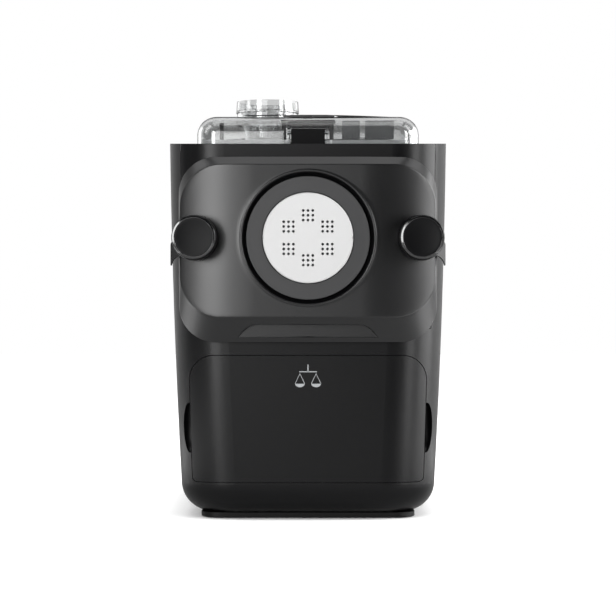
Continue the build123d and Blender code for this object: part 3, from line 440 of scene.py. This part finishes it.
def extruded(name, outline, y0, y1, material, body, slope=0.0):
    # outline of (x, z) points, anticlockwise from the front, between two depths; with a slope the
    # front face falls back by that much for each millimetre to the side
    outline = np.array(outline, float)
    n = len(outline)
    aside = np.abs(outline[:, 0]) - np.abs(outline[:, 0]).min()
    front, back = y0 + slope * aside, np.full(n, float(y1))
    points = np.concatenate([np.stack([outline[:, 0], y, outline[:, 1]], -1)
                             for y in (front, back)])
    turn = list(range(n))
    faces = [turn, [n + k for k in turn[::-1]]]
    faces += [(n + k, n + (k + 1) % n, (k + 1) % n, k) for k in turn]
    return makePiece(name, points, faces, material, body, smooth=False)


def makePlateFittings():
    # behind the skin: the slot's cup; at both sides a boss for the knob and an arched ear, whose
    # crown is a quarter round and whose underside is cut out by an arc
    black = slots["satin_black_abs"]
    outline = slotOutline(20, 12)[:, [0, 2]]
    middle = np.array([0.0, (plate["slotLowZ"] + plate["slotTopZ"]) / 2])
    outline = middle + (outline - middle) * fittings["cupGrow"]
    extruded("plateSlotCup", outline, *fittings["cupDepths"], black, "front_plate")

    def arc(centre, radius, angles):
        return [(centre[0] + radius * math.cos(t), centre[1] + radius * math.sin(t))
                for t in angles]

    crown = arc(fittings["crownCentre"], fittings["crownRadius"], np.radians(np.linspace(0, 90, 8)))
    arch = arc(fittings["archCentre"], fittings["archRadius"],
               np.radians(np.linspace(*fittings["archAngles"], 16)))
    ear = [fittings["earOuter"]] + crown + [fittings["earInner"]] + arch
    for side, label in ((-1, "left"), (1, "right")):
        turned("plateBoss." + label, fittings["bossRows"], (side * knobX, knobZ), black,
               "front_plate")
        outline = [(side * x, z) for x, z in ear][::side]
        extruded("plateEar." + label, outline, *fittings["earDepths"], black, "front_plate",
                 fittings["earSlope"])


def makeRingEdge():
    # collar that widens the ring up to the groove: it rises out of the ring's face by a hair's
    # breadth, runs on flat and ends in a small round
    low, high = nodeBox("plate_ring")
    radius, front = (high[0] - low[0]) / 2, low[1]
    inner, land = radius - plate["ringLap"], radius - plate["ringLand"]
    outer = radius + plate["ringGrow"]
    face, back = front - plate["ringRise"], front + plate["ringDepth"]
    profile = [(inner, front + plate["ringSink"]), (land, face), (outer - plate["ringRound"], face),
               (outer, front + plate["ringRound"]), (outer, back), (inner, back)]
    turned("plateRingEdge", profile, (0.0, knobZ), slots["graphite_abs"], "front_plate")


makePlateShell()
makePlateFittings()
makeRingEdge()
print("front plate made")


# Knobs

# all rows are (radius, y) pairs
knob = {
    "dishRadius": 14.7, "dishY": -179.62, "dishDepth": 0.75, "dishRows": 9, "dishStart": 0.5,
    "rim": ((15.0, -179.7), (15.2, -179.96), (15.35, -180.0), (15.45, -179.97), (16.6, -179.63),
            (16.7, -179.6), (16.86, -179.4),
            (16.9, -178.8), (16.9, -178.0), (15.0, -178.0)),
    "rows": ((15.0, -179.6), (16.4, -179.3), (16.7, -178.8), (16.95, -177.8), (16.95, -176.4),
             (16.2, -176.0), (16.2, -175.2), (17.3, -174.8), (17.6, -174.0), (17.95, -164.6),
             (18.0, -164.0), (17.8, -163.4), (17.3, -163.1), (15.0, -163.1), (14.3, -163.6),
             (14.3, -174.0), (9.4, -174.0), (9.4, -163.1), (6.86, -163.1), (6.86, -176.5)),
}


def makeKnob(side, label):
    # the face is a dish, whose depth falls with the square of the radius; round it run a shallow
    # polished slope, a groove and a widening skirt, and the back is hollow
    place, body = (side * knobX, knobZ), "knob_" + label
    dish = [(r, knob["dishY"] + knob["dishDepth"] * (1 - (r / knob["dishRadius"]) ** 2))
            for r in np.linspace(knob["dishStart"], knob["dishRadius"], knob["dishRows"])]
    rows = dish + list(knob["rows"])
    piece = turned("knobGrip." + label, rows, place, satin, body, caps=True)
    turned("knobRim." + label, knob["rim"], place, polished, body)
    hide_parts("knob_grip_" + label)


# the face and the skirt are dull, the slope round the face is polished and mirrors the lamps
satin = mouldedPlastic("satinBlackKnobAbs", "#050506", 0.3, 0.5, 0.2, 0.16)
polished = mouldedPlastic("polishedBlackMouldedAbs", "#050506", 0.11, 0.6, 0.04, 1.0, 0.02, 0.1)
makeKnob(-1, "left")
makeKnob(1, "right")
print("knobs made")


# Lid

lid = {
    "front": -122.0, "rear": 46.0, "half": 89.7, "corner": 18.0,
    "sealLow": 299.6, "sealHigh": 303.6, "sealWidth": 1.6, "sealInset": 2.7, "sealSides": 12,
    # black posts and smoked baffles behind the clear front wall: painted shade, dark pieces
    # standing for the dark bands seen through it
    "postX": (-69.4, -19.3, 18.9), "postHalf": 1.7, "postY": (-118.9, -114.5),
    "postZ": (296.5, 316.6), "postRound": 0.6,
    "baffleX": ((27.4, 41.9), (45.9, 69.2)), "baffleY": (-115.5, -113.9),
    "baffleZ": (304.2, 318.4), "baffleRound": 0.5,
    "crossX": (-18.5, 18.5), "crossY": (-117.6, -113.5), "crossZ": (313.6, 315.8),
    "hingeX": (-4.2, 4.2), "hingeY": (-108.0, -104.0), "hingeZ": (319.4, 324.6),
    "barX": (-19.5, 21.5), "barY": (-107.0, -105.0), "barZ": (322.6, 324.8), "barRound": 0.6,
    "bowTop": 325.0, "bowFall": 0.0003, "bowMiddle": -12.0, "bowY": -106.0, "bowHalfDepth": 1.1,
    "bowSteps": 30, "bowSides": 12, "bowRight": (21.0, 73.0), "bowRightThick": 2.6,
    "bowLeft": (-52.0, -19.0), "bowLeftThick": 1.0, "chamfer": 0.3,
}


def roundedBlock(name, xs, ys, zs, radius, material, body, steps=6):
    # block with rounded upright edges, its top and bottom rims drawn in by a small chamfer
    halfX, halfY = (xs[1] - xs[0]) / 2, (ys[1] - ys[0]) / 2
    midX, midY = (xs[0] + xs[1]) / 2, (ys[0] + ys[1]) / 2
    a = np.radians(np.linspace(0, 90, steps))
    ring = []
    for quarter, (sx, sy) in enumerate(((1, 1), (-1, 1), (-1, -1), (1, -1))):
        turn = a + quarter * math.pi / 2
        cx, cy = midX + sx * (halfX - radius), midY + sy * (halfY - radius)
        ring += [(cx + radius * math.cos(t), cy + radius * math.sin(t)) for t in turn]
    ring = np.array(ring)
    middle = np.array([midX, midY])
    chamfer = min(lid["chamfer"], radius)
    scale = 1 - chamfer / min(halfX, halfY)
    rows = []
    for level, size in ((zs[0], scale), (zs[0] + chamfer, 1.0),
                        (zs[1] - chamfer, 1.0), (zs[1], scale)):
        flat = middle + (ring - middle) * size
        rows.append(np.column_stack([flat, np.full(len(flat), level)]))
    n = len(ring)
    faces = gridFaces(4, n, closeColumns=True).tolist()
    faces += [list(range(n)), list(range(3 * n, 4 * n))[::-1]]
    return makePiece(name, np.concatenate(rows), faces, material, body, smooth=False)


def makeLidSeal():
    # soft strip pressed into the lid all round: its section is a small rounded rectangle carried
    # along the lid's inner outline
    depth, centre = (lid["rear"] - lid["front"]) / 2, (lid["rear"] + lid["front"]) / 2
    middle = (lid["sealLow"] + lid["sealHigh"]) / 2
    halfHigh = (lid["sealHigh"] - lid["sealLow"]) / 2
    rows = []
    for t in np.linspace(0, 2 * math.pi, lid["sealSides"], endpoint=False):
        # square root of sine and cosine with their signs: a circle pushed out towards a rectangle
        along, up = (math.copysign(abs(v) ** 0.5, v) for v in (math.cos(t), math.sin(t)))
        inset = lid["sealInset"] + lid["sealWidth"] / 2 * (1 - along)
        xs, ys = outlinePoints(lid["half"], -depth, depth, lid["corner"], inset, 10, 20)
        rows.append(np.stack([xs, ys + centre, np.full(len(xs), middle + halfHigh * up)], -1))
    grid = np.stack(rows)
    faces = gridFaces(*grid.shape[:2], closeRows=True, closeColumns=True)
    makePiece("lidSeal", grid.reshape(-1, 3), faces, frosted, "lid")


def makeLidFittings():
    # upright posts, two smoked baffles and a cross bar, all inside the lid's front wall; the black
    # posts and the smoked baffles are painted shade, dark pieces put there to give the dark bands
    # seen through the clear front
    black = slots["satin_black_abs"]
    for index, x in enumerate(lid["postX"], 1):
        xs = (x - lid["postHalf"], x + lid["postHalf"])
        roundedBlock("lidPost.%d" % index, xs, lid["postY"], lid["postZ"], lid["postRound"],
                     black, "lid")
    for index, xs in enumerate(lid["baffleX"], 1):
        roundedBlock("lidBaffle.%d" % index, xs, lid["baffleY"], lid["baffleZ"], lid["baffleRound"],
                     paintedShadeGrey, "lid")
    roundedBlock("lidCrossBar", lid["crossX"], lid["crossY"], lid["crossZ"], lid["baffleRound"],
                 black, "lid")


def makeLidTop():
    # block and flat bar on the lid's top, behind the latch
    roundedBlock("lidHingeBlock", lid["hingeX"], lid["hingeY"], lid["hingeZ"], lid["barRound"],
                 slots["satin_black_abs"], "lid")
    roundedBlock("lidTopBar", lid["barX"], lid["barY"], lid["barZ"], lid["barRound"],
                 slots["graphite_abs"], "lid")


def makeLidBow(name, xs, thick):
    # low rib over the lid's front edge, whose height follows a parabola across the lid and whose
    # section is a rounded bar that thins out at both ends
    steps, sides = lid["bowSteps"], lid["bowSides"]
    t = np.linspace(0, 1, steps)
    x = xs[0] + t * (xs[1] - xs[0])
    size = thick * np.minimum(1, 6 * np.minimum(t, 1 - t) + 0.15)
    top = lid["bowTop"] - lid["bowFall"] * (x - lid["bowMiddle"]) ** 2
    rows = []
    for a in np.linspace(0, 2 * math.pi, sides, endpoint=False):
        y = np.full(steps, lid["bowY"] + lid["bowHalfDepth"] * math.cos(a))
        rows.append(np.stack([x, y, top - size / 2 * (1 - math.sin(a))], -1))
    faces = gridFaces(sides, steps, closeRows=True).tolist()
    starts = [k * steps for k in range(sides)]
    faces += [starts[::-1], [start + steps - 1 for start in starts]]
    makePiece(name, np.concatenate(rows), faces, slots["satin_black_abs"], "lid")


frosted = mouldedPlastic("frostedMouldedSilicone", "#B9BBBC", 0.5, 0.6, 0.2)
# grey tint of the baffles, dark sheets that paint shade behind the lid's clear front
paintedShadeGrey = mouldedPlastic("smokeGreyMouldedPlastic", "#434547", 0.35, 0.6, 0.2)
makeLidSeal()
makeLidFittings()
makeLidBow("lidBow.right", lid["bowRight"], lid["bowRightThick"])
makeLidBow("lidBow.left", lid["bowLeft"], lid["bowLeftThick"])
makeLidTop()
print("lid fittings made")


# Pictogram on the drawer

scales = {
    "beamZ": 117.9, "postTop": 123.6, "armX": 7.0, "apexX": 6.4, "apexZ": 116.4,
    "panHalf": 3.8, "panTop": 108.4, "panLow": 105.6, "stroke": 0.8, "stringStroke": 0.48,
    "rise": 0.08, "thick": 0.2,
}


def flatStroke(path, width, y, name, material, body):
    # flat printed line: the path is widened to both sides by half the width, mitred at its corners
    path = np.array(path, float)
    ahead = np.diff(path, axis=0)
    ahead /= np.linalg.norm(ahead, axis=1)[:, None]
    sideways = np.stack([-ahead[:, 1], ahead[:, 0]], -1)
    first, last = sideways[:1], sideways[-1:]
    both = np.concatenate([first, (sideways[1:] + sideways[:-1]) / 2, last])
    both /= (both ** 2).sum(1)[:, None] ** 0.5
    corner = np.concatenate([first, sideways[:-1], last])
    both /= np.maximum((both * corner).sum(1), 0.5)[:, None]
    left, right = path + both * width / 2, path - both * width / 2
    flat = np.concatenate([np.stack([r[:, 0], np.full(len(r), y), r[:, 1]], -1)
                           for r in (left, right)])
    back = flat + np.array([0, scales["thick"], 0])
    n = len(path)
    total = 2 * n
    faces = [(i, i + 1, n + i + 1, n + i) for i in range(n - 1)]
    faces += [(total + i, total + n + i, total + n + i + 1, total + i + 1) for i in range(n - 1)]
    ring = list(range(n)) + list(range(total - 1, n - 1, -1))
    faces += [(a, total + a, total + b, b) for a, b in zip(ring, ring[1:] + ring[:1])]
    return makePiece(name, np.concatenate([flat, back]), faces, material, body, smooth=False)


def makeScales():
    # a pair of scales: short post on a straight beam, and two filled pans on strings
    front = nodeBox("drawer_front")[0][1] - scales["rise"]
    width, beamZ = scales["stroke"], scales["beamZ"]
    post = [(0, beamZ), (0, scales["postTop"])]
    beam = [(-scales["armX"], beamZ), (scales["armX"], beamZ)]
    flatStroke(post, width, front, "scalesPost", printed, "drawer")
    flatStroke(beam, width, front, "scalesBeam", printed, "drawer")
    for side, label in ((-1, "left"), (1, "right")):
        x, half = side * scales["apexX"], scales["panHalf"]
        strings = [(x - half, scales["panTop"]), (x, scales["apexZ"]), (x + half, scales["panTop"])]
        flatStroke(strings, scales["stringStroke"], front, "scalesStrings." + label, printed,
                   "drawer")
        a = np.linspace(math.pi, 2 * math.pi, 15)
        depth = scales["panTop"] - scales["panLow"]
        bowl = np.stack([x + half * np.cos(a), scales["panTop"] + depth * np.sin(a)], -1)
        extruded("scalesPan." + label, bowl, front, front + scales["thick"], printed, "drawer")


printed = mouldedPlastic("greyScreenPrintedInk", "#8A8C8E", 0.5, 0.6, 0.1)
makeScales()
print("pictogram made")


# Stage, light and camera

# metres; the paper's glow and the sky's strength are plain factors
studio = {
    "cameraDistance": 1.7045, "discY": -0.1655, "cameraZ": 0.1683, "lens": 127.23, "sensor": 36.0,
    "paper": "#EDEDED", "paperHalf": 6.0, "floorGlow": 0.74, "shadeReach": 0.042,
    "shadePower": 1.8, "floorInGloss": 0.6, "diffuseSky": 0.45, "glossySky": 0.03,
    "middle": (0, 0, 0.2),
}
# name: place, width and height, watts; all of these face the object's middle
lamps = {
    "leftMainBox": ((-1.2, -1.99, 0.55), (0.7, 1.3), 29),
    "leftFillBox": ((-0.46, -2.3, 0.55), (0.86, 1.3), 10.5),
    "rightFrontBox": ((1.7, -1.35, 0.5), (0.5, 1.3), 21),
    "rightSideBox": ((2.05, -0.07, 0.5), (1.25, 1.3), 46),
    "leftRearPanel": ((-2.0, 1.0, 0.6), (1.6, 1.6), 8),
    "rightRearPanel": ((2.0, 1.0, 0.6), (1.6, 1.6), 15),
    "leftBackPanel": ((-1.35, 2.2, 0.4), (0.9, 1.4), 3.5),
    "rightBackPanel": ((1.35, 2.2, 0.4), (0.9, 1.4), 4),
    "topBox": ((0, -0.3, 1.9), (1.6, 1.2), 12),
}
# place and aim on the right side, width and height, watts; each has a twin on the left
pairedLamps = {
    "FloorCard": ((0.45, -0.2, 0.004), (0.45, -0.2001, 1.0), (0.25, 0.9), 2.4),
    "HighPanel": ((0.9, -0.3, 0.85), (0, -0.1, 0.25), (0.3, 0.8), 3.0),
}


def whiteStage():
    material, tree = newMaterial("paleMattePaper")
    path = addNode(tree, "ShaderNodeLightPath")
    seen = addNode(tree, "ShaderNodeMath", {"operation": "MAXIMUM"},
                   {"0": path.outputs["Is Camera Ray"], "1": path.outputs["Is Transmission Ray"]})
    # the black plastic mirrors the paper less than the lens sees it
    pale = toLinear(studio["paper"])
    dull = addNode(tree, "ShaderNodeMix",
                   {"data_type": "RGBA", "in:6": pale,
                    "in:7": [c * studio["floorInGloss"] for c in pale]},
                   {"0": path.outputs["Is Glossy Ray"]})
    matte = addNode(tree, "ShaderNodeBsdfDiffuse", {}, {"Color": dull.outputs[2]})
    # the paper's glow fades where the object closes over it, so that its contact shade stays
    nearby = addNode(tree, "ShaderNodeAmbientOcclusion",
                     {"samples": 8, "in:Distance": studio["shadeReach"]})
    faded = addNode(tree, "ShaderNodeMath", {"operation": "POWER", "in:1": studio["shadePower"]},
                    {"0": nearby.outputs["AO"]})
    glowing = addNode(tree, "ShaderNodeMath",
                      {"operation": "MULTIPLY", "in:1": studio["floorGlow"]},
                      {"0": faded.outputs[0]})
    strength = addNode(tree, "ShaderNodeMath", {"operation": "MULTIPLY"},
                       {"0": seen.outputs[0], "1": glowing.outputs[0]})
    glow = addNode(tree, "ShaderNodeEmission", {}, {"Strength": strength.outputs[0]})
    both = addNode(tree, "ShaderNodeAddShader", {}, {"0": matte.outputs[0], "1": glow.outputs[0]})
    finishSurface(tree, both)
    mesh = bpy.data.meshes.new("floor")
    half = studio["paperHalf"]
    corners = [(-half, -half, 0), (half, -half, 0), (half, half, 0), (-half, half, 0)]
    mesh.from_pydata(corners, [], [(0, 1, 2, 3)])
    floor = bpy.data.objects.new("floor", mesh)
    bpy.context.scene.collection.objects.link(floor)
    mesh.materials.append(material)


def studioWorld():
    # white to the lens and through clear plastic, dim in diffuse light, almost dark in gloss
    world = bpy.data.worlds.new("paleStudio")
    bpy.context.scene.world = world
    world.use_nodes = True
    tree = world.node_tree
    tree.nodes.clear()
    path = addNode(tree, "ShaderNodeLightPath")
    seen = addNode(tree, "ShaderNodeMath", {"operation": "MAXIMUM"},
                   {"0": path.outputs["Is Camera Ray"], "1": path.outputs["Is Transmission Ray"]})
    dim = addNode(tree, "ShaderNodeMapRange",
                  {"in:To Min": studio["diffuseSky"], "in:To Max": studio["glossySky"]},
                  {"Value": path.outputs["Is Glossy Ray"]})
    strength = addNode(tree, "ShaderNodeMapRange", {"in:To Max": 1.0},
                       {"Value": seen.outputs[0], "To Min": dim.outputs["Result"]})
    sky = addNode(tree, "ShaderNodeBackground", {"in:Color": (1.0, 1.0, 1.0, 1.0)},
                  {"Strength": strength.outputs["Result"]})
    addNode(tree, "ShaderNodeOutputWorld", links={"Surface": sky.outputs[0]})


def softBox(name, place, target, size, power):
    # rectangular area light turned towards its target
    light = bpy.data.lights.new(name, "AREA")
    light.shape = "RECTANGLE"
    light.size, light.size_y = size
    light.energy = power
    lamp = bpy.data.objects.new(name, light)
    lamp.location = place
    direction = np.array(target) - np.array(place)
    yaw = math.atan2(-direction[0], direction[1])
    pitch = math.atan2(direction[2], math.hypot(direction[0], direction[1]))
    lamp.rotation_euler = (math.pi / 2 + pitch, 0, yaw)
    bpy.context.scene.collection.objects.link(lamp)
    return lamp


def makeCamera():
    data = bpy.data.cameras.new("camera")
    data.lens = studio["lens"]
    data.sensor_width = studio["sensor"]
    camera = bpy.data.objects.new("camera", data)
    camera.location = (0.0, studio["discY"] - studio["cameraDistance"], studio["cameraZ"])
    camera.rotation_euler = (math.pi / 2, 0, 0)
    bpy.context.scene.collection.objects.link(camera)
    bpy.context.scene.camera = camera


whiteStage()
studioWorld()
for name, (place, size, power) in lamps.items():
    softBox(name, place, studio["middle"], size, power)
for side, label in ((-1, "left"), (1, "right")):
    for name, (place, target, size, power) in pairedLamps.items():
        mirrored = [(side * spot[0], spot[1], spot[2]) for spot in (place, target)]
        softBox(label + name, *mirrored, size, power)
makeCamera()
bpy.context.scene.view_settings.view_transform = "Standard"
print("stage, light and camera set")
